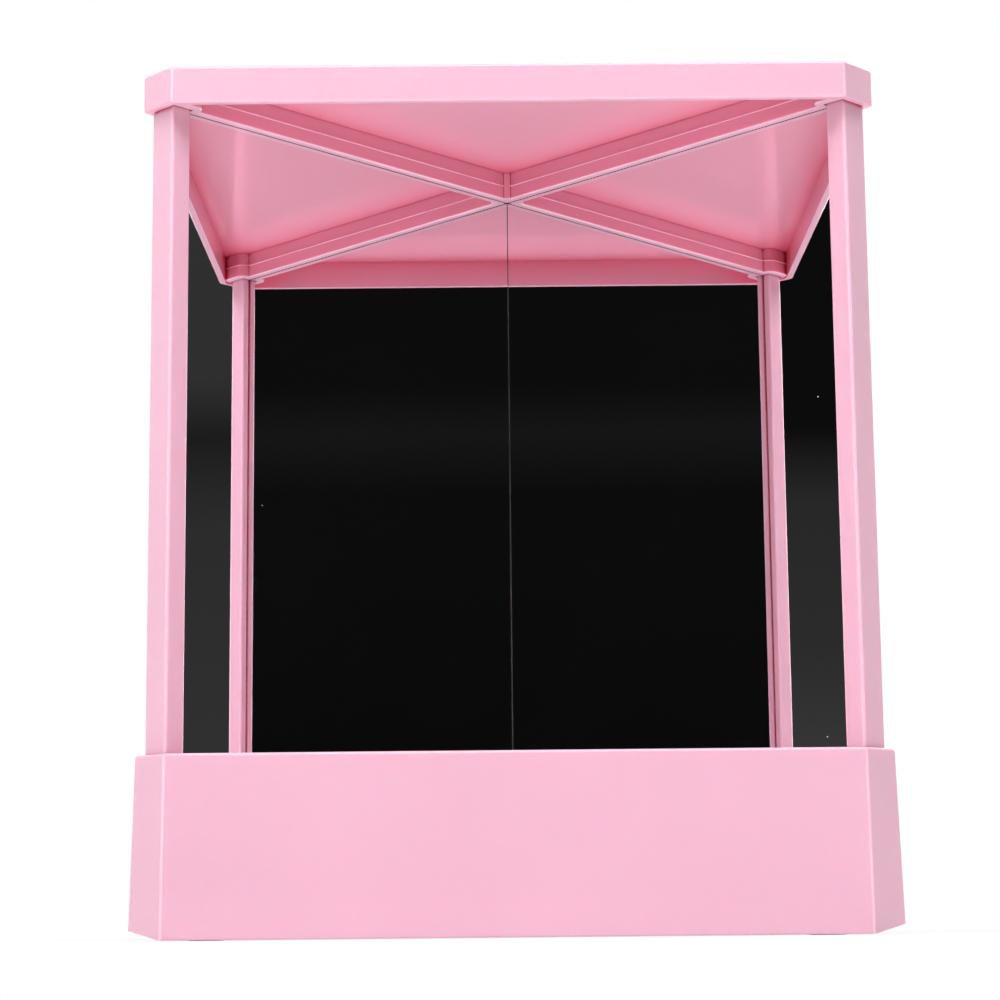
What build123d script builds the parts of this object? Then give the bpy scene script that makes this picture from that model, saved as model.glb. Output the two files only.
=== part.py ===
"""A non-reversing mirror: two mirrors at a right angle in an open-fronted triangular frame."""
import os
from math import radians, sqrt, tan

from build123d import *

os.makedirs("parts", exist_ok=True)

# Overall sizes, millimetres
half_width = 90.0  # centre plane to the front edge of a post
opening_height = 173.1  # base rim to the lower edge of the cover
base_height = 47.2  # front skirt of the base, from its lower edge to the rim
skirt_gap = 0.2  # front skirt's lower edge above the table
cover_height = 10.2  # skirt of the cover, with the lid
lid_thickness = 1.4

# Case walls: how far the outline stands outside the posts, and its thickness
front_margin = 4.2  # in front of the posts' front edges
facet_margin = 2.9  # outside the posts' corner faces
rear_margin = 0.8  # behind the back of the wings
case_wall = 2.3
facet_wall = 1.9
socket_gap = 0.4  # round a post where it enters the cover or the base
base_draft = 1.15  # degrees, each wall of the base leans out downwards
relief_height = 2.6  # rise of the base's lower edge at the sides and back
upright_round = 1.3  # vertical corners of the case
lid_round = 1.0  # upper edge of the lid
rim_round = 0.9  # upper edge of the base
lip_round = 0.5  # lower edge of the cover

# Posts, and the stack that they grip
post_width = 6.2
post_round = 0.7
post_web = 2.2
front_lip = 2.7
mirror_thickness = 2.0
pad_thickness = 0.5
panel_thickness = 1.6
rear_lip = 1.9
spine_lip = 10.0  # reach of the rear post behind each board
edge_clearance = 0.4  # between a board's edge and the web that guides it
tenon_clearance = 0.2
mirror_joint = 0.12  # gap between the two mirrors' front faces
mirror_top_cover = 6.1  # depth of mirror behind the upper rail

# Rails and bosses
rail_rise = 0.6  # upper rails' lower edge above the cover's lower edge
rail_clearance = 0.25  # between a rail and the mirror behind it
rail_round = 0.5  # lower edges of rails and bosses
boss_proud = 3.0  # boss in front of the rail's face, and beyond the post's inner side
boss_round = 2.8
corner_strip = 1.86  # width of the flat strip where the rails meet
strip_proud = 0.35
joint_relief = 0.5  # depth of the notch behind that strip
ridge_proud = 0.35
ridge_height = 0.6
ridge_round = 0.25

# Deck, its sockets and bosses, and the base plate
deck_drop = 3.0  # deck's upper face below the rim
deck_thickness = 2.2
foot_depth = 8.0  # post's foot below the deck's upper face
socket_wall = 1.8
socket_floor = 2.0
socket_clearance = 0.1
plate_thickness = 2.2
plate_clearance = 0.2
ledge_width = 1.4
ledge_thickness = 1.8
front_ledge_length = 110.0
rear_ledge_length = 70.0
boss_diameter = 6.4

# Screws and feet
screw_diameter = 1.9
screw_hole_play = 0.1
screw_head_diameter = 3.8
screw_head_height = 1.4
post_screw_length = 8.0
base_screw_length = 9.0
base_screw_x = 62.0
base_screw_depth = 12.0  # front screws behind the posts' front edges
rear_screw_depth = 70.0
foot_diameter = 10.0
foot_recess = 0.6
foot_inset = 14.0  # front feet from the posts' corner faces, along a mirror
rear_foot_depth = 86.0  # rear foot behind the posts' front edges
foot_chamfer = 0.6
pad_width = 18.0
pad_inset = 14.0  # foam strips from the mirror's upright edges
pad_end_gap = 8.0

touching = 0.01  # points closer than this count as one

# Worked-out sizes
diagonal = sqrt(2)
stack = mirror_thickness + pad_thickness + panel_thickness
wing_depth = front_lip + stack + rear_lip
rear_wall_face = wing_depth + rear_margin - case_wall  # inner face of the rear walls, from a rail's face
rim_level = skirt_gap + base_height
cover_level = rim_level + opening_height
ceiling_level = cover_level + cover_height - lid_thickness
rail_level = cover_level + rail_rise
deck_level = rim_level - deck_drop
plate_level = skirt_gap + relief_height
foot_level = deck_level - foot_depth
mirror_top = rail_level + mirror_top_cover
rail_thickness = front_lip - rail_clearance
rail_run = diagonal * half_width  # post's front edge to the corner where the rails meet
mirror_run = rail_run + front_lip  # the same to the corner where the mirrors meet
tenon_depth = rear_wall_face - tenon_clearance
front_gap = (front_margin - case_wall) * diagonal  # front wall's inner face from the posts' front edges


def growth(level):
    """How far the base's walls lean out at a level, from the draft."""
    return (rim_level - level) * tan(radians(base_draft))


front_reach = front_margin + growth(skirt_gap)
corner_reach = diagonal * (wing_depth + rear_margin + growth(plate_level)) - upright_round * (diagonal - 1)
post_line = (front_reach - half_width - corner_reach) / 2  # Y of the posts' front edges, model centred


def wing_point(along, behind):
    """Point in plan, from the left post's front edge: along the mirror, and behind the rail's face."""
    return (-half_width + (along - behind) / diagonal, post_line + (along + behind) / diagonal)


def centre_point(behind):
    """Point in plan on the centre plane, where the planes at that depth of both wings meet."""
    return (0, post_line + half_width + diagonal * behind)


left_wing = Plane(origin=(-half_width, post_line, 0), x_dir=(1, 1, 0), z_dir=(0, 0, 1))


def depth_behind(edge):
    """How far the middle of an edge lies behind the rails' faces, on either wing."""
    middle = edge @ 0.5
    return (middle.Y - post_line + abs(middle.X) - half_width) / diagonal


def faces_the_hollow(edge):
    """Whether an edge borders the side of a rail or boss that looks into the space under the lid."""
    middle = edge @ 0.5
    along = (middle.Y - post_line + half_width - abs(middle.X)) / diagonal
    behind = depth_behind(edge)
    return behind < touching and (along > post_width or abs(behind + boss_proud) < touching)


def case_outline(front, facet, rear):
    """Face of the case's plan: front edge, two cut-off corners and two rear edges."""
    corner_x = half_width + diagonal * facet - front
    front_y = post_line - front
    side_x, side_y = wing_point(-facet, wing_depth + rear)
    Polygon(
        (-corner_x, front_y), (corner_x, front_y), (-side_x, side_y),
        centre_point(wing_depth + rear), (side_x, side_y), align=None,
    )


def both_sides(*points):
    """Face through points of the left half, and its mirror image."""
    Polygon(*points, align=None)
    Polygon(*[(-x, y) for x, y in points], align=None)


def inner_outline(spread, clearance):
    """The case's inner outline, where its walls have leaned out by spread."""
    case_outline(
        front_margin - case_wall + spread - clearance,
        facet_margin - facet_wall + spread - clearance,
        rear_margin - case_wall + spread - clearance,
    )


def rail_outline():
    """Plan of the two rails, and of the strip that fills their corner."""
    start = post_width + socket_gap
    both_sides(
        wing_point(start, 0), centre_point(0), centre_point(rail_thickness),
        wing_point(start, rail_thickness),
    )
    half_strip = corner_strip / 2
    strip_root = centre_point(0)[1] - half_strip
    strip_face = strip_root - strip_proud
    both_sides(
        (0, strip_face), (-half_strip, strip_face), (-half_strip, strip_root), centre_point(0),
    )


def boss_outline():
    """Plan of the two bosses, each filling a corner of the case round a post."""
    facet_face = facet_margin - facet_wall
    boss_end = post_width + boss_proud
    inner_end = post_width + socket_gap
    both_sides(
        wing_point(boss_proud - front_gap, -boss_proud), wing_point(boss_end, -boss_proud),
        wing_point(boss_end, rail_thickness), wing_point(inner_end, rail_thickness),
        wing_point(inner_end, -socket_gap), wing_point(-socket_gap, -socket_gap),
        wing_point(-socket_gap, tenon_depth), wing_point(-facet_face, tenon_depth),
        wing_point(-facet_face, facet_face - front_gap),
    )


def boss_corners(section, proud):
    """The two corners of a plan that stand out by proud beyond a post's inner side and the rail."""
    x, y = wing_point(post_width + proud, -proud)
    return [
        vertex for vertex in section.vertices()
        if abs(abs(vertex.X) + x) < touching and abs(vertex.Y - y) < touching
    ]


# Top cover
with BuildPart() as top_cover:
    with BuildSketch(Plane.XY.offset(cover_level)):
        case_outline(front_margin, facet_margin, rear_margin)
    extrude(amount=cover_height)
    fillet(top_cover.edges().filter_by(Axis.Z), upright_round)
    fillet(top_cover.faces().sort_by(Axis.Z)[-1].edges(), lid_round)
    fillet(top_cover.faces().sort_by(Axis.Z)[0].edges(), lip_round)
    with BuildSketch(Plane.XY.offset(cover_level)):
        inner_outline(0, 0)
    extrude(amount=cover_height - lid_thickness, mode=Mode.SUBTRACT)
top_cover.part.label = "top_cover"

# Upper rails and bosses
with BuildPart() as top_rail_frame:
    with BuildSketch(Plane.XY.offset(rail_level)) as rail_section:
        rail_outline()
        boss_outline()
        fillet(boss_corners(rail_section, boss_proud), boss_round)
    extrude(amount=ceiling_level - rail_level)
    lower_edges = top_rail_frame.faces().sort_by(Axis.Z)[0].edges()
    fillet(lower_edges.filter_by(faces_the_hollow), rail_round)
    # Notch that leaves room for the mirrors' corner
    with BuildSketch(Plane.XY.offset(rail_level)):
        with Locations(centre_point(rail_thickness)):
            Rectangle(corner_strip, 2 * joint_relief)
    extrude(amount=mirror_top - rail_level, mode=Mode.SUBTRACT)
    # Moulded ridge at half height, along each boss and each rail
    ridge_level = (rail_level + ceiling_level - ridge_height) / 2
    ridge_reach = boss_proud + ridge_proud
    ridge_start = boss_proud - front_gap + ridge_proud
    ridge_end = rail_run - corner_strip / diagonal
    with BuildPart():
        with BuildSketch(Plane.XY.offset(ridge_level)) as ridge_section:
            both_sides(
                wing_point(ridge_start, -ridge_reach), wing_point(post_width + ridge_reach, -ridge_reach),
                wing_point(post_width + ridge_reach, -ridge_proud), wing_point(ridge_end, -ridge_proud),
                wing_point(ridge_end, rail_thickness / 2),
                wing_point(post_width + boss_proud / 2, rail_thickness / 2),
                wing_point(post_width + boss_proud / 2, -boss_proud / 2),
                wing_point(ridge_start, -boss_proud / 2),
            )
            fillet(boss_corners(ridge_section, ridge_reach), boss_round)
        ridge = extrude(amount=ridge_height)
        fillet(ridge.faces().sort_by(Axis.Z)[:2].edges(), ridge_round)
top_rail_frame.part.label = "top_rail_frame"

# Front posts
with BuildPart() as left_post:
    with BuildSketch(left_wing.offset(foot_level)) as post_section:
        with Locations((post_width / 2, wing_depth / 2)):
            RectangleRounded(post_width, wing_depth, post_round)
        with Locations((post_web, front_lip)):
            Rectangle(post_width, stack, align=(Align.MIN, Align.MIN), mode=Mode.SUBTRACT)
        fillet(post_section.vertices().sort_by_distance((post_width, front_lip))[0], post_round)
    extrude(amount=ceiling_level - tenon_clearance - foot_level)
    with BuildSketch(left_wing.offset(foot_level)):
        with Locations((post_web, front_lip)):
            Rectangle(post_width - post_web, tenon_depth - front_lip, align=(Align.MIN, Align.MIN))
    extrude(amount=foot_depth)
    # The ends go inside the base and the cover, so their backs are cut away
    for level, height in ((foot_level, rim_level - foot_level), (cover_level, cover_height)):
        with BuildSketch(left_wing.offset(level)):
            with Locations((0, tenon_depth)):
                Rectangle(post_width, wing_depth, align=(Align.MIN, Align.MIN))
        extrude(amount=height, mode=Mode.SUBTRACT)
    with Locations(left_wing.offset(foot_level)):
        with Locations((post_width / 2, tenon_depth / 2)):
            Cylinder(
                (screw_diameter + screw_hole_play) / 2, post_screw_length - socket_floor,
                align=(Align.CENTER, Align.CENTER, Align.MIN), mode=Mode.SUBTRACT,
            )
left_post.part.label = "left_post"

with BuildPart() as right_post:
    mirror(left_post.part, about=Plane.YZ)
right_post.part.label = "right_post"

# Rear post: a key between the mirrors' ends, and a lip behind each board
key_face = front_lip + mirror_joint
key_start = rail_run + key_face
with BuildPart() as rear_post:
    with BuildSketch(Plane.XY.offset(rim_level)) as rear_section:
        both_sides(
            centre_point(key_face), wing_point(key_start, wing_depth - rear_lip),
            wing_point(mirror_run - spine_lip, wing_depth - rear_lip),
            wing_point(mirror_run - spine_lip, wing_depth), centre_point(wing_depth),
        )
        fillet(rear_section.vertices().sort_by(Axis.Y)[-1], upright_round)
    extrude(amount=opening_height)
    with BuildSketch(Plane.XY.offset(deck_level)):
        both_sides(centre_point(key_face), wing_point(key_start, tenon_depth), centre_point(tenon_depth))
    extrude(amount=ceiling_level - tenon_clearance - deck_level)
    with BuildSketch(Plane.XY.offset(foot_level)):
        both_sides(centre_point(0), wing_point(rail_run, tenon_depth), centre_point(tenon_depth))
    extrude(amount=foot_depth)
    with Locations((*centre_point(tenon_depth / 2), foot_level)):
        Cylinder(
            (screw_diameter + screw_hole_play) / 2, post_screw_length - socket_floor,
            align=(Align.CENTER, Align.CENTER, Align.MIN), mode=Mode.SUBTRACT,
        )
rear_post.part.label = "rear_post"

# Mirrors, the foam strips behind them and the boards that close the back
sheet_start = post_web + edge_clearance
sheet_height = mirror_top - deck_level
mirror_width = mirror_run - mirror_joint / diagonal - sheet_start
with BuildPart() as left_mirror:
    with BuildSketch(left_wing.offset(deck_level)):
        with Locations((sheet_start, front_lip)):
            Rectangle(mirror_width, mirror_thickness, align=(Align.MIN, Align.MIN))
    extrude(amount=sheet_height)
left_mirror.part.label = "left_mirror"

with BuildPart() as left_mirror_pads:
    pad_pitch = mirror_width - 2 * pad_inset - pad_width
    with BuildSketch(left_wing.offset(deck_level + pad_end_gap)):
        with Locations((sheet_start + mirror_width / 2, front_lip + mirror_thickness + pad_thickness / 2)):
            with GridLocations(pad_pitch, 1, 2, 1):
                Rectangle(pad_width, pad_thickness)
    extrude(amount=sheet_height - 2 * pad_end_gap)
left_mirror_pads.part.label = "left_mirror_pads"

with BuildPart() as left_back_panel:
    with BuildSketch(left_wing.offset(deck_level)):
        with Locations((sheet_start, wing_depth - rear_lip - panel_thickness)):
            Rectangle(
                key_start - edge_clearance - sheet_start, panel_thickness, align=(Align.MIN, Align.MIN)
            )
    extrude(amount=sheet_height)
left_back_panel.part.label = "left_back_panel"

with BuildPart() as right_mirror:
    mirror(left_mirror.part, about=Plane.YZ)
right_mirror.part.label = "right_mirror"

with BuildPart() as right_mirror_pads:
    mirror(left_mirror_pads.part, about=Plane.YZ)
right_mirror_pads.part.label = "right_mirror_pads"

with BuildPart() as right_back_panel:
    mirror(left_back_panel.part, about=Plane.YZ)
right_back_panel.part.label = "right_back_panel"

# Base shell: tapered walls, lower edge cut away at the sides and back, ledges inside
with BuildPart() as base_shell:
    with BuildSketch(Plane.XY.offset(skirt_gap)):
        spread = growth(skirt_gap)
        case_outline(front_margin + spread, facet_margin + spread, rear_margin + spread)
    extrude(amount=base_height, taper=base_draft)
    upright_edges = base_shell.edges().filter_by(
        lambda edge: abs((edge @ 1 - edge @ 0).Z) > base_height / 2
    )
    fillet(upright_edges, upright_round)
    fillet(base_shell.faces().sort_by(Axis.Z)[-1].edges(), rim_round)
    with BuildSketch(Plane.XY.offset(skirt_gap)):
        inner_outline(growth(skirt_gap), 0)
    extrude(amount=base_height, taper=base_draft, mode=Mode.SUBTRACT)
    # Ledges: the deck rests on the upper ones, the base plate is held up against the lower ones
    front_face = post_line - front_margin + case_wall
    for level in (deck_level - deck_thickness - ledge_thickness, plate_level + plate_thickness):
        spread = growth(level)
        with BuildSketch(Plane.XY.offset(level)):
            with Locations((0, front_face - spread + ledge_width)):
                Rectangle(
                    front_ledge_length, case_wall + ledge_width / 2, align=(Align.CENTER, Align.MAX)
                )
        extrude(amount=ledge_thickness)
        with BuildSketch(Plane.XY.offset(level)):
            middle = rail_run / 2
            inner = rear_wall_face + spread - ledge_width
            outer = rear_wall_face + spread + ledge_width / 2
            both_sides(
                wing_point(middle - rear_ledge_length / 2, inner),
                wing_point(middle + rear_ledge_length / 2, inner),
                wing_point(middle + rear_ledge_length / 2, outer),
                wing_point(middle - rear_ledge_length / 2, outer),
            )
        extrude(amount=ledge_thickness)
    # The lower edge climbs along the cut-off corners and stays up along the back
    climb_start = post_line - front_margin - growth(skirt_gap)
    spread = growth(plate_level)
    climb_end = wing_point(-facet_margin - spread, wing_depth + rear_margin + spread)[1]
    with BuildSketch(Plane.YZ):
        with BuildLine():
            Polyline(
                (climb_start, skirt_gap), (climb_end, plate_level), (2 * half_width, plate_level),
                (2 * half_width, -skirt_gap), (climb_start, -skirt_gap), close=True,
            )
        make_face()
    extrude(amount=2 * half_width, both=True, mode=Mode.SUBTRACT)
base_shell.part.label = "base_shell"

# Deck: floor of the open space, lower rails, post sockets and screw bosses
boss_places = [
    (-base_screw_x, post_line + base_screw_depth),
    (base_screw_x, post_line + base_screw_depth),
    (0, post_line + base_screw_depth),
    (0, post_line + rear_screw_depth),
]
with BuildPart() as base_deck:
    with BuildSketch(Plane.XY.offset(deck_level - deck_thickness)):
        inner_outline(growth(deck_level), plate_clearance)
    extrude(amount=deck_thickness)
    with BuildSketch(Plane.XY.offset(deck_level)) as deck_rail_section:
        rail_outline()
        boss_outline()
        fillet(boss_corners(deck_rail_section, boss_proud), boss_round)
    extrude(amount=deck_drop)
    # Socket under each post, open towards the case wall
    socket_level = foot_level - socket_floor
    wall = socket_wall + socket_clearance
    with BuildSketch(Plane.XY.offset(socket_level)):
        both_sides(
            wing_point(0, -wall), wing_point(post_width + wall, -wall),
            wing_point(post_width + wall, tenon_depth), wing_point(0, tenon_depth),
        )
        both_sides(
            centre_point(-wall), wing_point(rail_run - wall, tenon_depth), centre_point(tenon_depth)
        )
    extrude(amount=deck_level - socket_level)
    with BuildSketch(Plane.XY.offset(foot_level)):
        both_sides(
            wing_point(-facet_margin, -socket_clearance),
            wing_point(post_width + socket_clearance, -socket_clearance),
            wing_point(post_width + socket_clearance, wing_depth), wing_point(-facet_margin, wing_depth),
        )
        both_sides(
            centre_point(-socket_clearance), wing_point(rail_run - socket_clearance, wing_depth),
            centre_point(wing_depth),
        )
    extrude(amount=foot_depth, mode=Mode.SUBTRACT)
    with Locations(*[(x, y, plate_level + plate_thickness) for x, y in boss_places]):
        Cylinder(
            boss_diameter / 2, deck_level - plate_level - plate_thickness,
            align=(Align.CENTER, Align.CENTER, Align.MIN),
        )
        Cylinder(
            (screw_diameter + screw_hole_play) / 2, base_screw_length,
            align=(Align.CENTER, Align.CENTER, Align.MIN), mode=Mode.SUBTRACT,
        )
    socket_x, socket_y = wing_point(post_width / 2, tenon_depth / 2)
    post_screw_places = [(socket_x, socket_y), (-socket_x, socket_y), centre_point(tenon_depth / 2)]
    with Locations(*[(x, y, socket_level) for x, y in post_screw_places]):
        Cylinder(
            (screw_diameter + screw_hole_play) / 2, socket_floor,
            align=(Align.CENTER, Align.CENTER, Align.MIN), mode=Mode.SUBTRACT,
        )
base_deck.part.label = "base_deck"

# Base plate
foot_x, foot_y = wing_point(foot_inset, 0)
foot_places = [(foot_x, foot_y), (-foot_x, foot_y), (0, post_line + rear_foot_depth)]
with BuildPart() as base_plate:
    with BuildSketch(Plane.XY.offset(plate_level)):
        inner_outline(growth(plate_level + plate_thickness), plate_clearance)
    extrude(amount=plate_thickness)
    with Locations(*[(x, y, plate_level) for x, y in boss_places]):
        Cylinder(
            (screw_diameter + screw_hole_play) / 2, plate_thickness,
            align=(Align.CENTER, Align.CENTER, Align.MIN), mode=Mode.SUBTRACT,
        )
        Cylinder(
            screw_head_diameter / 2 + screw_hole_play, screw_head_height,
            align=(Align.CENTER, Align.CENTER, Align.MIN), mode=Mode.SUBTRACT,
        )
    with Locations(*[(x, y, plate_level) for x, y in foot_places]):
        Cylinder(
            foot_diameter / 2 + plate_clearance, foot_recess,
            align=(Align.CENTER, Align.CENTER, Align.MIN), mode=Mode.SUBTRACT,
        )
base_plate.part.label = "base_plate"

export_step(top_cover.part, "parts/top_cover.step")
export_step(top_rail_frame.part, "parts/top_rail_frame.step")
export_step(left_post.part, "parts/left_post.step")
export_step(right_post.part, "parts/right_post.step")
export_step(rear_post.part, "parts/rear_post.step")
export_step(left_mirror.part, "parts/left_mirror.step")
export_step(right_mirror.part, "parts/right_mirror.step")
export_step(left_mirror_pads.part, "parts/left_mirror_pads.step")
export_step(right_mirror_pads.part, "parts/right_mirror_pads.step")
export_step(left_back_panel.part, "parts/left_back_panel.step")
export_step(right_back_panel.part, "parts/right_back_panel.step")
export_step(base_shell.part, "parts/base_shell.step")
export_step(base_deck.part, "parts/base_deck.step")
export_step(base_plate.part, "parts/base_plate.step")

# Rubber feet
for name, (x, y) in zip(("left_foot", "right_foot", "rear_foot"), foot_places):
    with BuildPart() as foot:
        with Locations((x, y, 0)):
            Cylinder(
                foot_diameter / 2, plate_level + foot_recess, align=(Align.CENTER, Align.CENTER, Align.MIN)
            )
        chamfer(foot.edges().sort_by(Axis.Z)[0], foot_chamfer)
    foot.part.label = name
    export_step(foot.part, f"parts/{name}.step")


def screw(length):
    """Pan-head screw pointing up, its head's underside at the origin plane."""
    with Locations((0, 0, -screw_head_height)):
        Cylinder(
            screw_head_diameter / 2, screw_head_height, align=(Align.CENTER, Align.CENTER, Align.MIN)
        )
    Cylinder(screw_diameter / 2, length, align=(Align.CENTER, Align.CENTER, Align.MIN))


# Screws, as one node for each kind
screw_kinds = (
    ("post_screws", post_screw_places, socket_level, post_screw_length),
    ("base_screws", boss_places, plate_level + screw_head_height, base_screw_length),
)
for name, places, level, length in screw_kinds:
    with BuildPart() as screws:
        for x, y in places:
            with Locations((x, y, level)):
                screw(length)
    screws.part.label = name
    export_step(screws.part, f"parts/{name}.step")
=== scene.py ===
"""Looks of a tabletop non-reversing mirror: pink moulded case, two mirrors at a right angle."""
from math import cos, pi, radians, sin, sqrt

import bmesh
import bpy
from mathutils import Matrix, Vector


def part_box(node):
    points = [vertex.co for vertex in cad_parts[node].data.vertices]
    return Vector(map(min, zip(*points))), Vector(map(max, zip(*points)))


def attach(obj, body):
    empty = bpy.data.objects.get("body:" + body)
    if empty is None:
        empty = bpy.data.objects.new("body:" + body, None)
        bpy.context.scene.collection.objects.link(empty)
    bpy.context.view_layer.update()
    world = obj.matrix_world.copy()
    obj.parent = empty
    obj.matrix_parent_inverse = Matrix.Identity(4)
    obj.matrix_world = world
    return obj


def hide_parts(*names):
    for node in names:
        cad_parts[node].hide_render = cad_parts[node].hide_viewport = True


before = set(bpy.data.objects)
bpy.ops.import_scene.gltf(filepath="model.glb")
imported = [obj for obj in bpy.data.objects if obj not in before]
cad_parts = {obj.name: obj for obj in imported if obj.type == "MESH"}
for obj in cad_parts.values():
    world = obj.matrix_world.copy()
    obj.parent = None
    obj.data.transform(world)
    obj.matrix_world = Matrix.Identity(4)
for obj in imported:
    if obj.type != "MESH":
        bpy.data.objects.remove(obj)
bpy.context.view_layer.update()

MM = 0.001
QUARTER_TURN = pi / 2

# Camera: just above the table in front of the open side, looking up
CAMERA_PLACE = Vector((-4.737, -681.247, 3.722)) * MM
CAMERA_TILT = radians(9.1233)
CAMERA_YAW = radians(-0.1258)
CAMERA_ROLL = radians(-0.5551)
CAMERA_LENS = 88.358
CAMERA_SHIFT = 0.0291
CAMERA_NEAR = 0.01
SENSOR_WIDTH = 36.0

# Colours, linear
PINK = (0.825, 0.475, 0.602)
# Painted light and shade: faces that look down under the cover, redder as if lit from below
CEILING_SHADING_PINK = (0.965, 0.472, 0.615)
# Painted shade: the rails' pink, darker and redder under the cover
RAIL_SHADE_PINK = (0.83, 0.30, 0.42)
# Painted light: the undersides of the lips, paler as if lit from the floor
LIP_LIGHT_PINK = (0.95, 0.58, 0.72)
# Painted shade in recesses
RECESS_SHADE_PINK = (0.98, 0.25, 0.38)
# Painted shade in creases and narrow joints: deep red on the case, grey on the rear post
CREASE_SHADE_PINK = (0.58, 0.012, 0.05)
SHADE = (0.16, 0.13, 0.13)
BOARD_PINK = (0.84, 0.445, 0.570)
SILVER = (0.985, 0.98, 0.985)
GLASS_EDGE = (0.30, 0.36, 0.34)
BACKING_PAINT = (0.16, 0.17, 0.18)
DUST = (0.55, 0.54, 0.53)
FOAM = (0.03, 0.03, 0.033)
RUBBER = (0.78, 0.72, 0.73)
STEEL = (0.56, 0.56, 0.57)
FLOOR = (0.92, 0.92, 0.92)
WHITE = (1.0, 1.0, 1.0)

# Pink plastic, lengths in millimetres
CREASE = 1.6  # reach of the painted shade in creases and narrow joints
RECESS = 12.0  # reach of the painted shade in recesses
OPENNESS_SAMPLES = 4
LIP_LEVEL = 225.0  # lips of the cover and of its rails lie below this height, and get painted light underneath
CASE_LINES, RAIL_LINES = 0.10, 0.32  # relief of the level lines
CASE_SHINE, RAIL_SHINE = 0.5, 0.25
PLASTIC_IOR = 1.5
LIGHT_SHARE = 0.35  # share of the light that goes in under the skin
LIGHT_DEPTH = 2.5
LIGHT_SPREAD = (1.0, 0.16, 0.24)  # red goes deeper than green and blue

# Dust on the mirrors: specks in some cells of a pattern, none beside the joint
DUST_CELLS = 48.0  # in a metre
DUST_RADIUS = 0.008  # in cells
DUST_FREE = 0.93  # share of the cells without a speck
DUST_ROUGHNESS = 0.8
JOINT_REACH = 8.0  # millimetres

# Plates with the outline of a CAD node, millimetres
GLASS_EASE, FOAM_EASE = 0.10, 0.14
PLATE_WELD = 0.01
PLATE_SMOOTH = 1  # degrees between faces that are shaded as one
FACE_ON = 0.99  # cosine above which a face points straight forwards or back
SILVERED, GROUND, PAINTED = range(3)

# Rubber foot, radius and height in millimetres: dish underneath, rounded rim, eased top
FOOT_PROFILE = (
    (0, 0.35), (2.9, 0.35), (3.3, 0.25), (3.6, 0.05), (3.8, 0), (4.3, 0), (4.6, 0.08), (4.85, 0.3),
    (5.0, 0.65), (5.0, 3.35), (4.9, 3.5), (4.7, 3.6), (0, 3.6),
)
FOOT_STEPS = 48
AXIS_WELD = 0.001

# Screws, millimetres: pan head with a cross recess, coarse thread, cut point
SCREW_LENGTHS = {"post_screws": 8.0, "base_screws": 9.0}
CORE_RADIUS, CORE_STEPS = 0.70, 24
HEAD_RADIUS, HEAD_HEIGHT = 1.9, 1.4
CROWN_RADIUS, CROWN_STEPS = 1.25, 32
HEAD_PROFILE = (
    (1.6, 0.13), (1.83, 0.4), (HEAD_RADIUS, 0.75), (HEAD_RADIUS, HEAD_HEIGHT), (CORE_RADIUS, HEAD_HEIGHT),
)
CROSS_REACH, CROSS_DEPTH = 0.95, 0.85
SLOT_SHARE = 0.28  # of the cross's middle third that a slot is wide
CROSS_TAPER = 0.6
ON_AXIS = 0.1  # faces of the cross nearer than this to an axis belong to a slot
POINT_LENGTH = 1.2
THREAD_RADIUS, PITCH, THREAD_STEPS = 0.95, 0.8, 20
THREAD_START, THREAD_STOP = 0.4, 1.8  # bare lengths under the head and at the point
RIDGE_HALF, RIDGE_SINK = 0.2, 0.05  # half its width, and how far its root lies in the core
SHAFT_END = 0.1  # points of a CAD screw this near to its top belong to its shaft's end
SHAFT_REACH = 2.5  # points of one shaft's end lie within this
SCREW_GAP = 4.0  # least distance between two screws' axes

# Light, metres and watts: two soft boxes at the sides, one over the floor in front, one behind
AMBIENT = 0.10
AIM = (0, 0, 0.12)
SIDE_ANGLE = 48
BOX_DISTANCE = 1.0
BOX_SIZE = (0.5, 0.8)
BOX_HEIGHT = 0.50
KEY_POWER, FILL_POWER, FLOOR_POWER, BACK_POWER = 3.2, 0.12, 12.3, 12.0
DIRECT_DEPTH = 0.5  # rays with fewer matt bounces than this look at a thing

# Floor, metres: plainly white away from the object, and by this share near it
FLOOR_SIZE = (8, 8)
PLAIN_SHARE = 0.78
PLAIN_START, PLAIN_END = 0.11, 0.24

# Dark cards that paint dark reflections, seen only in reflections; metres, with pairs of height and grey
CARD_HEIGHT = 0.62
CARD_TINT = (1.0, 0.98, 1.02)
FRONT_WIDTH, FRONT_DISTANCE = 0.9, 0.80
SIDE_WIDTH, SIDE_DISTANCE, SIDE_MIDDLE = 0.43, 0.90, -0.235
TABLE_SIZE, TABLE_PLACE = (1.5, 0.41), (0, -0.605, 0.0002)
SIDE_TABLE_WIDTH, SIDE_TABLE_DISTANCE = 0.55, 0.675
TABLE_GREY = 0.14
FRONT_GREYS = (
    (0.0, 0.0025), (0.24, 0.004), (0.28, 0.004), (0.318, 0.0085), (0.35, 0.004), (1.0, 0.004),
)
RIGHT_GREYS = ((0.0, 0.035), (0.27, 0.026), (0.33, 0.012), (0.37, 0.030), (1.0, 0.032))
LEFT_GREYS = ((0.0, 0.060), (0.18, 0.026), (0.28, 0.022), (0.33, 0.004), (1.0, 0.0027))
EVEN = ((0.0, 1.0), (1.0, 1.0))

# Bright strips that paint highlights, seen only in reflections; metres
STRIP_SIZE = (0.20, CARD_HEIGHT)
STRIP_SIDE, STRIP_FRONT = 0.58, 0.55  # middle of a side's pair
STRIP_OFFSET = 0.24  # from there to each strip's middle, along the pair
STRIP_STRENGTHS = {"left": 8.0, "right": 6.0}
LOW_SIZE, LOW_PLACE, LOW_STRENGTH = (0.60, 0.34), (0, -0.25, 0.0003), 6.5
HIGH_SIZE, HIGH_PLACE, HIGH_STRENGTH = (0.70, 0.16), (0, -0.56, 0.70), 6.0
HIGH_TILT = radians(50)

# Sockets of a Mix node that mixes colours
MIX_FACTOR, MIX_FIRST, MIX_SECOND, MIX_RESULT = 0, 6, 7, 2


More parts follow.
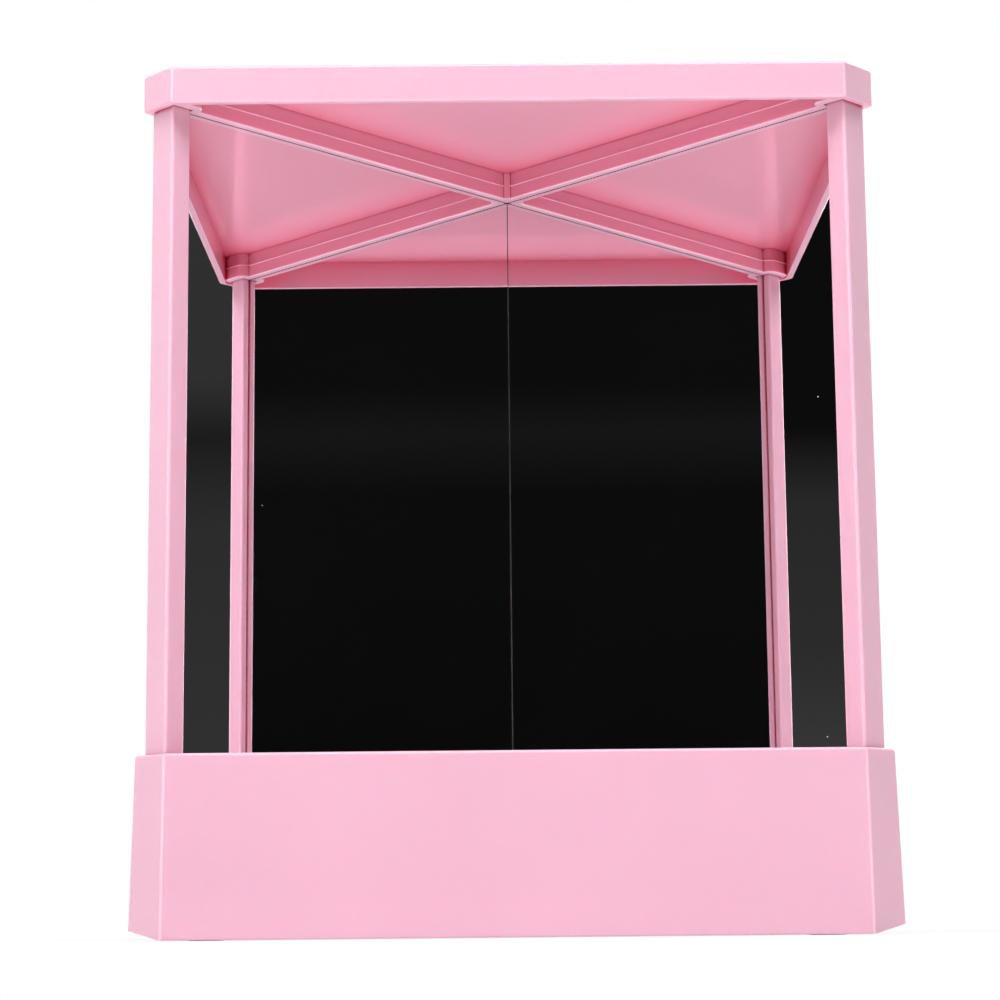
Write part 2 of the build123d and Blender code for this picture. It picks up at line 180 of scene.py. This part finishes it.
class Nodes:
    """Nodes of a material or of the world: makes them and joins their sockets."""

    def __init__(self, tree):
        self.nodes = tree.nodes
        self.links = tree.links

    def add(self, kind, inputs=None, **settings):
        node = self.nodes.new(kind)
        for key, value in settings.items():
            setattr(node, key, value)
        for key, value in (inputs or {}).items():
            self.feed(node.inputs[key], value)
        return node

    def feed(self, socket, value):
        if isinstance(value, bpy.types.NodeSocket):
            self.links.new(value, socket)
        else:
            socket.default_value = value

    def maths(self, operation, first, second):
        return self.add("ShaderNodeMath", {0: first, 1: second}, operation=operation).outputs["Value"]

    def spread(self, value, low, high, start=0.3, end=0.7):
        """Values from start to end become low to high, and those outside stay at either."""
        inputs = {"Value": value, "From Min": start, "From Max": end, "To Min": low, "To Max": high}
        return self.add("ShaderNodeMapRange", inputs).outputs["Result"]

    def looked_at(self):
        """1 for rays that look straight, in a mirror or through glass, and 0 for light on its way."""
        rays = self.add("ShaderNodeLightPath").outputs
        looking = self.maths("MAXIMUM", rays["Is Camera Ray"], rays["Is Glossy Ray"])
        looking = self.maths("MAXIMUM", looking, rays["Is Transmission Ray"])
        direct = self.maths("LESS_THAN", rays["Diffuse Depth"], DIRECT_DEPTH)
        return self.maths("MULTIPLY", looking, direct)


class Finish(Nodes):
    """A material under construction, laid out on the piece's own coordinates."""

    def __init__(self, name):
        self.material = bpy.data.materials.new(name)
        self.material.use_nodes = True
        super().__init__(self.material.node_tree)
        self.surface = self.nodes["Principled BSDF"]
        self.place = self.add("ShaderNodeTexCoord").outputs["Object"]

    def set(self, **inputs):
        """Feeds the surface's sockets, with an underscore for each space in their names."""
        for key, value in inputs.items():
            self.feed(self.surface.inputs[key.replace("_", " ")], value)

    def parts(self, vector):
        return self.add("ShaderNodeSeparateXYZ", {"Vector": vector}).outputs

    def noise(self, scale, detail=2.0, stretch=(1, 1, 1)):
        place = self.add("ShaderNodeMapping", {"Vector": self.place, "Scale": stretch}).outputs["Vector"]
        inputs = {"Vector": place, "Scale": scale, "Detail": detail}
        return self.add("ShaderNodeTexNoise", inputs).outputs["Fac"]

    def shades(self, factor, dark, light):
        node = self.add("ShaderNodeMix", {MIX_FACTOR: factor}, data_type="RGBA")
        for socket, colour in ((MIX_FIRST, dark), (MIX_SECOND, light)):
            linked = isinstance(colour, bpy.types.NodeSocket)
            self.feed(node.inputs[socket], colour if linked else (*colour, 1))
        return node.outputs[MIX_RESULT]

    def openness(self, reach):
        """1 on open faces, and less where something stands within reach, in millimetres."""
        inputs = {"Distance": reach * MM}
        return self.add("ShaderNodeAmbientOcclusion", inputs, samples=OPENNESS_SAMPLES).outputs["AO"]

    def relief(self, height, strength, depth, over=None):
        """Bumps of a depth in millimetres, laid over others where there are any."""
        inputs = {"Height": height, "Strength": strength, "Distance": depth * MM}
        if over:
            inputs["Normal"] = over
        return self.add("ShaderNodeBump", inputs).outputs["Normal"]

    def glow(self, colour, strength=1.0):
        return self.add("ShaderNodeEmission", {"Color": colour, "Strength": strength}).outputs["Emission"]

    def show(self, share, first, second):
        """Shows the first shader, and by its share the second."""
        mixed = self.add("ShaderNodeMixShader", {0: share, 1: first, 2: second}).outputs["Shader"]
        self.feed(self.nodes["Material Output"].inputs["Surface"], mixed)


def tint(colour, factor):
    """The colour, lighter or darker by a factor."""
    return tuple(min(1.0, part * factor) for part in colour)


def case_plastic(
    name, colour, lines=CASE_LINES, crease_shade=CREASE_SHADE_PINK, under=None, recess_shade=None, shine=CASE_SHINE
):
    """Glossy pink plastic: faint clouds, a barely wavy skin and fine level lines on upright faces.

    Creases and narrow joints get a painted shade, and so may recesses; faces that look down
    may get painted light and shade, paler on the lips."""
    finish = Finish(name)
    clouds = finish.spread(finish.noise(16, detail=3), 0, 1)
    shade = finish.shades(clouds, tint(colour, 0.975), tint(colour, 1.015))
    # painted shade in creases and narrow joints
    clear_of_creases = finish.spread(finish.openness(CREASE), 0, 1, start=0.22, end=0.72)
    shade = finish.shades(clear_of_creases, crease_shade, shade)
    # painted light and shade on faces that look down, paler on the lips
    if under:
        lips = finish.maths("LESS_THAN", finish.parts(finish.place)["Z"], LIP_LEVEL * MM)
        slope = finish.parts(finish.add("ShaderNodeNewGeometry").outputs["Normal"])["Z"]
        facing_down = finish.spread(slope, 1, 0, start=-0.9, end=-0.3)
        shade = finish.shades(facing_down, shade, finish.shades(lips, under, LIP_LIGHT_PINK))
    # painted shade in recesses
    if recess_shade:
        clear_of_recesses = finish.spread(finish.openness(RECESS), 0, 1, start=0.35, end=0.90)
        shade = finish.shades(clear_of_recesses, recess_shade, shade)
    skin = finish.relief(finish.noise(90, detail=1), strength=0.05, depth=0.25)
    skin = finish.relief(finish.noise(1900), strength=0.06, depth=0.03, over=skin)
    level_lines = finish.noise(1.0, stretch=(3, 3, 2300))
    finish.set(
        Base_Color=shade,
        Roughness=finish.spread(finish.noise(45, detail=4), 0.09, 0.13),
        IOR=PLASTIC_IOR,
        Specular_IOR_Level=shine,
        Subsurface_Weight=LIGHT_SHARE,
        Subsurface_Radius=LIGHT_SPREAD,
        Subsurface_Scale=LIGHT_DEPTH * MM,
        Normal=finish.relief(level_lines, lines, depth=0.08, over=skin),
    )
    return finish.material


def board_plastic():
    """Closing boards of the back: a slightly deeper pink with a fine matt grain."""
    finish = Finish("board_plastic")
    clouds = finish.spread(finish.noise(24, detail=3), 0, 1)
    grain = finish.noise(1100, detail=3)
    finish.set(
        Base_Color=finish.shades(clouds, tint(BOARD_PINK, 0.96), BOARD_PINK),
        Roughness=finish.spread(grain, 0.40, 0.54),
        IOR=PLASTIC_IOR,
        Normal=finish.relief(grain, strength=0.35, depth=0.10),
    )
    return finish.material


def mirror_silver():
    """Front-coated mirror: a faint film, and a few specks of dust far apart."""
    finish = Finish("mirror_silver")
    film = finish.spread(finish.noise(14, detail=3), 0.0, 0.012)
    across, _, up = finish.parts(finish.place)
    off_joint = finish.maths("GREATER_THAN", finish.maths("ABSOLUTE", across, 0.0), JOINT_REACH * MM)
    flat = finish.add("ShaderNodeCombineXYZ", {"X": across, "Y": up}).outputs["Vector"]
    pattern = {"Vector": flat, "Scale": DUST_CELLS}
    cells = finish.add("ShaderNodeTexVoronoi", pattern, voronoi_dimensions="2D").outputs
    near = finish.maths("LESS_THAN", cells["Distance"], DUST_RADIUS)
    draw = finish.add("ShaderNodeSeparateColor", {"Color": cells["Color"]}).outputs["Red"]
    chosen = finish.maths("GREATER_THAN", draw, DUST_FREE)
    speck = finish.maths("MULTIPLY", finish.maths("MULTIPLY", near, chosen), off_joint)
    finish.set(
        Base_Color=finish.shades(speck, finish.shades(film, tint(SILVER, 0.99), SILVER), DUST),
        Metallic=finish.spread(speck, 1.0, 0.0, start=0.0, end=1.0),
        Roughness=finish.maths("ADD", film, finish.maths("MULTIPLY", speck, DUST_ROUGHNESS)),
    )
    return finish.material


def ground_glass():
    """Cut edges of the mirrors."""
    finish = Finish("ground_glass")
    marks = finish.noise(3000, stretch=(1, 1, 0.2))
    finish.set(
        Base_Color=finish.shades(marks, tint(GLASS_EDGE, 0.8), tint(GLASS_EDGE, 1.2)),
        Roughness=finish.spread(marks, 0.35, 0.6),
        Normal=finish.relief(marks, strength=0.4, depth=0.05),
    )
    return finish.material


def backing_paint():
    """Grey protective paint on the mirrors' backs."""
    finish = Finish("backing_paint")
    drift = finish.noise(200, detail=4)
    finish.set(
        Base_Color=finish.shades(drift, tint(BACKING_PAINT, 0.9), tint(BACKING_PAINT, 1.1)),
        Roughness=finish.spread(drift, 0.55, 0.7),
        Normal=finish.relief(drift, strength=0.2, depth=0.05),
    )
    return finish.material


def foam():
    """Closed-cell foam tape."""
    finish = Finish("foam")
    pattern = {"Vector": finish.place, "Scale": 2200.0}
    cells = finish.add("ShaderNodeTexVoronoi", pattern).outputs["Distance"]
    finish.set(
        Base_Color=finish.shades(cells, tint(FOAM, 0.7), tint(FOAM, 1.8)),
        Roughness=0.92,
        Normal=finish.relief(cells, strength=0.6, depth=0.12),
    )
    return finish.material


def rubber():
    """Pale soft rubber of the feet."""
    finish = Finish("rubber")
    grain = finish.noise(1700, detail=3)
    finish.set(
        Base_Color=finish.shades(finish.noise(140), tint(RUBBER, 0.8), tint(RUBBER, 1.15)),
        Roughness=finish.spread(grain, 0.62, 0.78),
        Normal=finish.relief(grain, strength=0.35, depth=0.06),
    )
    return finish.material


def steel():
    """Zinc-plated screws, with turning marks."""
    finish = Finish("steel")
    marks = finish.noise(2600, detail=3, stretch=(1, 1, 3))
    finish.set(
        Base_Color=finish.shades(marks, tint(STEEL, 0.82), tint(STEEL, 1.05)),
        Metallic=1.0,
        Roughness=finish.spread(marks, 0.22, 0.40),
        Normal=finish.relief(marks, strength=0.15, depth=0.02),
    )
    return finish.material


def dress(material, *nodes):
    """Gives a material to CAD nodes, in place of their plain one."""
    for name in nodes:
        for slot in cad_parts[name].material_slots:
            slot.material = material


def object_from(name, shape, *materials):
    """Makes a shape an object of the scene."""
    mesh = bpy.data.meshes.new(name)
    shape.to_mesh(mesh)
    shape.free()
    for material in materials:
        mesh.materials.append(material)
    thing = bpy.data.objects.new(name, mesh)
    bpy.context.scene.collection.objects.link(thing)
    return thing


def finished(name, shape, materials, node, smooth=35):
    """Makes a finished shape an object that rides on the part and stands for a CAD node.

    Faces that meet at less than the angle smooth, in degrees, are shaded as one surface."""
    piece = object_from(name, shape, *materials)
    piece.data.shade_smooth()
    piece.data.set_sharp_from_angle(angle=radians(smooth))
    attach(piece, "root")
    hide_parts(node)
    return piece


def plate_from(node, ease):
    """A flat plate with the CAD node's own outline, its edges eased by some millimetres."""
    shape = bmesh.new()
    shape.from_mesh(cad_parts[node].data)
    bmesh.ops.remove_doubles(shape, verts=shape.verts, dist=PLATE_WELD * MM)
    bmesh.ops.dissolve_limit(shape, angle_limit=radians(1), verts=shape.verts, edges=shape.edges)
    edges = shape.edges[:]
    bmesh.ops.bevel(
        shape, geom=edges, offset=ease * MM, affect="EDGES", segments=2, profile=0.5, material=-1
    )
    return shape


def mirror_face(face, inward):
    """Which finish a face of a mirror has: silver in front, paint behind, ground glass between."""
    towards_front = face.normal.dot(inward)
    if towards_front > FACE_ON:
        return SILVERED
    return PAINTED if towards_front < -FACE_ON else GROUND


def middle(values):
    return (min(values) + max(values)) / 2


def moved(shape, place):
    bmesh.ops.translate(shape, vec=Vector(place), verts=shape.verts)
    return shape


def joined(shapes):
    """One shape from several, which stay loose from each other."""
    whole = bmesh.new()
    for shape in shapes:
        holder = bpy.data.meshes.new("holder")
        shape.to_mesh(holder)
        shape.free()
        whole.from_mesh(holder)
        bpy.data.meshes.remove(holder)
    return whole


def half_section(shape, profile, closed=False):
    """Points of radius and height in millimetres, and the edges that join them."""
    points = [shape.verts.new((radius * MM, 0, height * MM)) for radius, height in profile]
    following = points[1:] + points[:1] if closed else points[1:]
    return points + [shape.edges.new(pair) for pair in zip(points, following)]


def turned(profile, steps):
    """A round shape, spun from points of radius and height in millimetres."""
    shape = bmesh.new()
    line = half_section(shape, profile)
    bmesh.ops.spin(
        shape, geom=line, cent=(0, 0, 0), axis=(0, 0, 1), angle=2 * pi, steps=steps, use_merge=True
    )
    bmesh.ops.remove_doubles(shape, verts=shape.verts, dist=AXIS_WELD * MM)
    bmesh.ops.recalc_face_normals(shape, faces=shape.faces)
    return shape


def pull_ring(shape, edges, radius, height):
    """Draws a closed ring of edges out into a new one of a radius and height in millimetres."""
    point = edges[0].verts[0].co
    widen, rise = radius * MM / point.xy.length, height * MM - point.z
    drawn = bmesh.ops.extrude_edge_only(shape, edges=edges)["geom"]
    ring = [part for part in drawn if isinstance(part, bmesh.types.BMVert)]
    centre = sum((point.co for point in ring), Vector()) / len(ring)
    bmesh.ops.scale(shape, vec=(widen, widen, 1), space=Matrix.Translation(-centre), verts=ring)
    bmesh.ops.translate(shape, vec=(0, 0, rise), verts=ring)
    return [part for part in drawn if isinstance(part, bmesh.types.BMEdge)]


def screw_head():
    """Pan head below the origin plane, its recess open downwards."""
    shape = bmesh.new()
    cross = bmesh.ops.create_grid(shape, x_segments=3, y_segments=3, size=CROSS_REACH * MM)["verts"]
    for point in cross:
        point.co.x *= SLOT_SHARE if abs(point.co.x) < CROSS_REACH * MM / 2 else 1
        point.co.y *= SLOT_SHARE if abs(point.co.y) < CROSS_REACH * MM / 2 else 1
    corners = [
        face for face in shape.faces if min(map(abs, face.calc_center_median().xy)) > ON_AXIS * MM
    ]
    bmesh.ops.delete(shape, geom=corners, context="FACES")
    rim = [edge for edge in shape.edges if edge.is_boundary]
    recess = shape.faces[:]
    crown = bmesh.ops.create_circle(shape, segments=CROWN_STEPS, radius=CROWN_RADIUS * MM)["verts"]
    ring = list(dict.fromkeys(edge for point in crown for edge in point.link_edges))
    bmesh.ops.triangle_fill(shape, use_beauty=True, edges=rim + ring)
    sunk = bmesh.ops.extrude_face_region(shape, geom=recess)["geom"]
    bmesh.ops.delete(shape, geom=recess, context="FACES_ONLY")
    floor_points = [part for part in sunk if isinstance(part, bmesh.types.BMVert)]
    bmesh.ops.translate(shape, vec=(0, 0, CROSS_DEPTH * MM), verts=floor_points)
    bmesh.ops.scale(shape, vec=(CROSS_TAPER, CROSS_TAPER, 1), verts=floor_points)
    for radius, height in HEAD_PROFILE:
        ring = pull_ring(shape, ring, radius, height)
    return moved(shape, (0, 0, -HEAD_HEIGHT * MM))


def screw_thread(length):
    """Core with a cut point, and a helical ridge round it."""
    core = turned(((CORE_RADIUS, 0), (CORE_RADIUS, length - POINT_LENGTH), (0, length)), CORE_STEPS)
    ridge = bmesh.new()
    root = CORE_RADIUS - RIDGE_SINK
    section = (
        (root, THREAD_START - RIDGE_HALF), (THREAD_RADIUS, THREAD_START), (root, THREAD_START + RIDGE_HALF),
    )
    line = half_section(ridge, section, closed=True)
    turns = (length - THREAD_START - THREAD_STOP) / PITCH
    steps = round(THREAD_STEPS * turns)
    bmesh.ops.spin(
        ridge, geom=line, cent=(0, 0, 0), axis=(0, 0, 1), angle=2 * pi * turns, steps=steps,
        dvec=(0, 0, turns * PITCH * MM / steps),
    )
    bmesh.ops.holes_fill(ridge, edges=ridge.edges)
    bmesh.ops.recalc_face_normals(ridge, faces=ridge.faces)
    return joined([core, ridge])


def screw_places(node):
    """Where each screw of a CAD node has its axis and the underside of its head."""
    low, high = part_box(node)
    points = [vertex.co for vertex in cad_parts[node].data.vertices]
    ends = [point for point in points if point.z > high.z - SHAFT_END * MM]
    places = []
    for point in ends:
        if all((point.xy - place.xy).length > SCREW_GAP * MM for place in places):
            end = [other for other in ends if (other.xy - point.xy).length < SHAFT_REACH * MM]
            across, along = middle([other.x for other in end]), middle([other.y for other in end])
            places.append(Vector((across, along, low.z + HEAD_HEIGHT * MM)))
    return places


# Case: the CAD nodes in their plastics
# the cover gets painted shade in recesses, and painted light and shade on faces that look down
dress(case_plastic("cover_plastic", PINK, under=CEILING_SHADING_PINK, recess_shade=RECESS_SHADE_PINK), "top_cover")
dress(
    case_plastic("case_plastic", PINK),
    "left_post", "right_post", "base_shell", "base_plate", "base_deck",
)
# the rear post gets a painted grey shade in its creases
dress(case_plastic("rear_post_plastic", PINK, crease_shade=SHADE), "rear_post")
# the rails get a darker, redder pink as painted shade, and painted light and shade on faces that look down
rail_plastic = case_plastic("rail_plastic", RAIL_SHADE_PINK, RAIL_LINES, under=CEILING_SHADING_PINK, shine=RAIL_SHINE)
dress(rail_plastic, "top_rail_frame")
dress(board_plastic(), "left_back_panel", "right_back_panel")

# Mirrors: silvered face, ground edges, painted back
glass_faces = (mirror_silver(), ground_glass(), backing_paint())
for side, inward in (("left", Vector((1, -1, 0))), ("right", Vector((-1, -1, 0)))):
    plate = plate_from(f"{side}_mirror", GLASS_EASE)
    for face in plate.faces:
        face.material_index = mirror_face(face, inward.normalized())
    finished(f"{side}_mirror_plate", plate, glass_faces, f"{side}_mirror", PLATE_SMOOTH)

# Foam tapes between each mirror and its board
tape_finish = foam()
for side in ("left", "right"):
    pads = f"{side}_mirror_pads"
    tapes = plate_from(pads, FOAM_EASE)
    finished(f"{side}_foam_tapes", tapes, [tape_finish], pads, PLATE_SMOOTH)

# Rubber feet
rubber_finish = rubber()
for name in ("left_foot", "right_foot", "rear_foot"):
    low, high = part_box(name)
    foot_place = (middle((low.x, high.x)), middle((low.y, high.y)), 0)
    foot = moved(turned(FOOT_PROFILE, FOOT_STEPS), foot_place)
    finished(f"{name}_rubber", foot, [rubber_finish], name)

# Screws
steel_finish = steel()
for name, length in SCREW_LENGTHS.items():
    places = screw_places(name)
    screws = [moved(joined([screw_head(), screw_thread(length)]), place) for place in places]
    finished(f"{name}_steel", joined(screws), [steel_finish], name)


def stage_sheet(name, material, size, place, tilt=0.0, heading=0.0):
    """Flat sheet that is part of the studio, tilted about X and then turned about Z."""
    shape = bmesh.new()
    bmesh.ops.create_grid(shape, x_segments=1, y_segments=1, size=0.5)
    bmesh.ops.scale(shape, vec=(*size, 1), verts=shape.verts)
    for angle, axis in ((tilt, "X"), (heading, "Z")):
        bmesh.ops.rotate(shape, matrix=Matrix.Rotation(angle, 3, axis), verts=shape.verts)
    sheet = object_from(name, moved(shape, place), material)
    return sheet


def floor_white():
    """White where it is looked at, with the object's shadow kept near the object."""
    finish = Finish("floor_white")
    finish.set(Base_Color=(*FLOOR, 1), Roughness=1.0, Specular_IOR_Level=0.0)
    distance = finish.add("ShaderNodeVectorMath", {0: finish.place}, operation="LENGTH").outputs["Value"]
    plain = finish.spread(distance, PLAIN_SHARE, 1.0, start=PLAIN_START, end=PLAIN_END)
    share = finish.maths("MULTIPLY", plain, finish.looked_at())
    finish.show(share, finish.surface.outputs["BSDF"], finish.glow((*WHITE, 1)))
    return finish.material


def studio_card(name, size, place, tilt=0.0, heading=0.0, greys=EVEN, strength=1.0):
    """Sheet that only reflections show and that lights nothing: a painted dark or bright reflection of the
    studio, graded by height.
    """
    finish = Finish(name)
    finish.nodes.remove(finish.surface)
    ramp = finish.add("ShaderNodeValToRGB", {"Fac": finish.parts(finish.place)["Z"]})
    stops = ramp.color_ramp.elements
    for height, _ in greys[1:-1]:
        stops.new(height)
    for stop, (height, grey) in zip(stops, greys):
        stop.position = height
        stop.color = (*(grey * part for part in CARD_TINT), 1)
    clear = finish.add("ShaderNodeBsdfTransparent").outputs["BSDF"]
    finish.show(finish.looked_at(), clear, finish.glow(ramp.outputs["Color"], strength))
    sheet = stage_sheet(name, finish.material, size, place, tilt, heading)
    sheet.visible_camera = sheet.visible_transmission = False
    sheet.visible_diffuse = sheet.visible_shadow = False


def lamp(name, place, target, size, power):
    """Rectangular soft light that looks at a target."""
    data = bpy.data.lights.new(name, "AREA")
    data.shape = "RECTANGLE"
    data.size, data.size_y = size
    data.energy = power
    light = bpy.data.objects.new(name, data)
    light.location = place
    light.rotation_euler = (Vector(target) - Vector(place)).to_track_quat("-Z", "Y").to_euler()
    bpy.context.scene.collection.objects.link(light)


def studio_world():
    """White where it is looked at, and dim as a light on the object."""
    world = bpy.data.worlds.new("studio")
    bpy.context.scene.world = world
    world.use_nodes = True
    sky = Nodes(world.node_tree)
    background = sky.nodes["Background"].inputs
    sky.feed(background["Color"], (*WHITE, 1))
    sky.feed(background["Strength"], sky.spread(sky.looked_at(), AMBIENT, 1.0, start=0.0, end=1.0))


def front_camera():
    """Camera at the place and angle named above."""
    data = bpy.data.cameras.new("camera")
    data.lens = CAMERA_LENS
    data.sensor_width = SENSOR_WIDTH
    data.shift_y = CAMERA_SHIFT
    data.clip_start = CAMERA_NEAR
    camera = bpy.data.objects.new("camera", data)
    heading = Matrix.Rotation(CAMERA_YAW, 4, "Z") @ Matrix.Rotation(QUARTER_TURN + CAMERA_TILT, 4, "X")
    camera.matrix_world = Matrix.Translation(CAMERA_PLACE) @ heading @ Matrix.Rotation(CAMERA_ROLL, 4, "Z")
    bpy.context.scene.collection.objects.link(camera)
    bpy.context.scene.camera = camera


stage_sheet("floor", floor_white(), FLOOR_SIZE, (0, 0, 0))

# Dark cards that paint dark reflections in front, at the sides and on the table between them
card_middle = CARD_HEIGHT / 2
front_place = (0, -FRONT_DISTANCE, card_middle)
studio_card("dark_front", (FRONT_WIDTH, CARD_HEIGHT), front_place, QUARTER_TURN, greys=FRONT_GREYS)
studio_card("dark_table", TABLE_SIZE, TABLE_PLACE, strength=TABLE_GREY)
for side, sign, greys in (("right", 1, RIGHT_GREYS), ("left", -1, LEFT_GREYS)):
    card_place = (sign * SIDE_DISTANCE, SIDE_MIDDLE, card_middle)
    card_size = (SIDE_WIDTH, CARD_HEIGHT)
    studio_card(f"dark_{side}", card_size, card_place, QUARTER_TURN, QUARTER_TURN, greys)
    table_place = (sign * SIDE_TABLE_DISTANCE, SIDE_MIDDLE, TABLE_PLACE[2])
    table_size = (SIDE_TABLE_WIDTH, SIDE_WIDTH)
    studio_card(f"dark_table_{side}", table_size, table_place, strength=TABLE_GREY)

# Bright strips, seen only in reflections and lighting nothing, that paint the light lines along rounded
# edges
for side, sign in (("left", -1), ("right", 1)):
    for end, offset in (("front", -STRIP_OFFSET), ("back", STRIP_OFFSET)):
        shift = offset / sqrt(2)
        place = (sign * (STRIP_SIDE + shift), -STRIP_FRONT + shift, card_middle)
        studio_card(
            f"strip_{side}_{end}", STRIP_SIZE, place, QUARTER_TURN, sign * QUARTER_TURN / 2,
            strength=STRIP_STRENGTHS[side],
        )
studio_card("strip_low", LOW_SIZE, LOW_PLACE, strength=LOW_STRENGTH)
studio_card("strip_high", HIGH_SIZE, HIGH_PLACE, HIGH_TILT, strength=HIGH_STRENGTH)

# Lamps
side_x, side_y = BOX_DISTANCE * sin(radians(SIDE_ANGLE)), -BOX_DISTANCE * cos(radians(SIDE_ANGLE))
lamp("key_box", (-side_x, side_y, BOX_HEIGHT), AIM, BOX_SIZE, KEY_POWER)
lamp("fill_box", (side_x, side_y, BOX_HEIGHT), AIM, BOX_SIZE, FILL_POWER)
lamp("floor_box", place=(0, -0.55, 0.9), target=(0, -0.551, 0), size=(1.0, 0.6), power=FLOOR_POWER)
lamp("back_box", place=(0.35, 1.2, 0.8), target=AIM, size=(0.9, 0.9), power=BACK_POWER)

studio_world()
front_camera()
bpy.context.scene.view_settings.view_transform = "Standard"
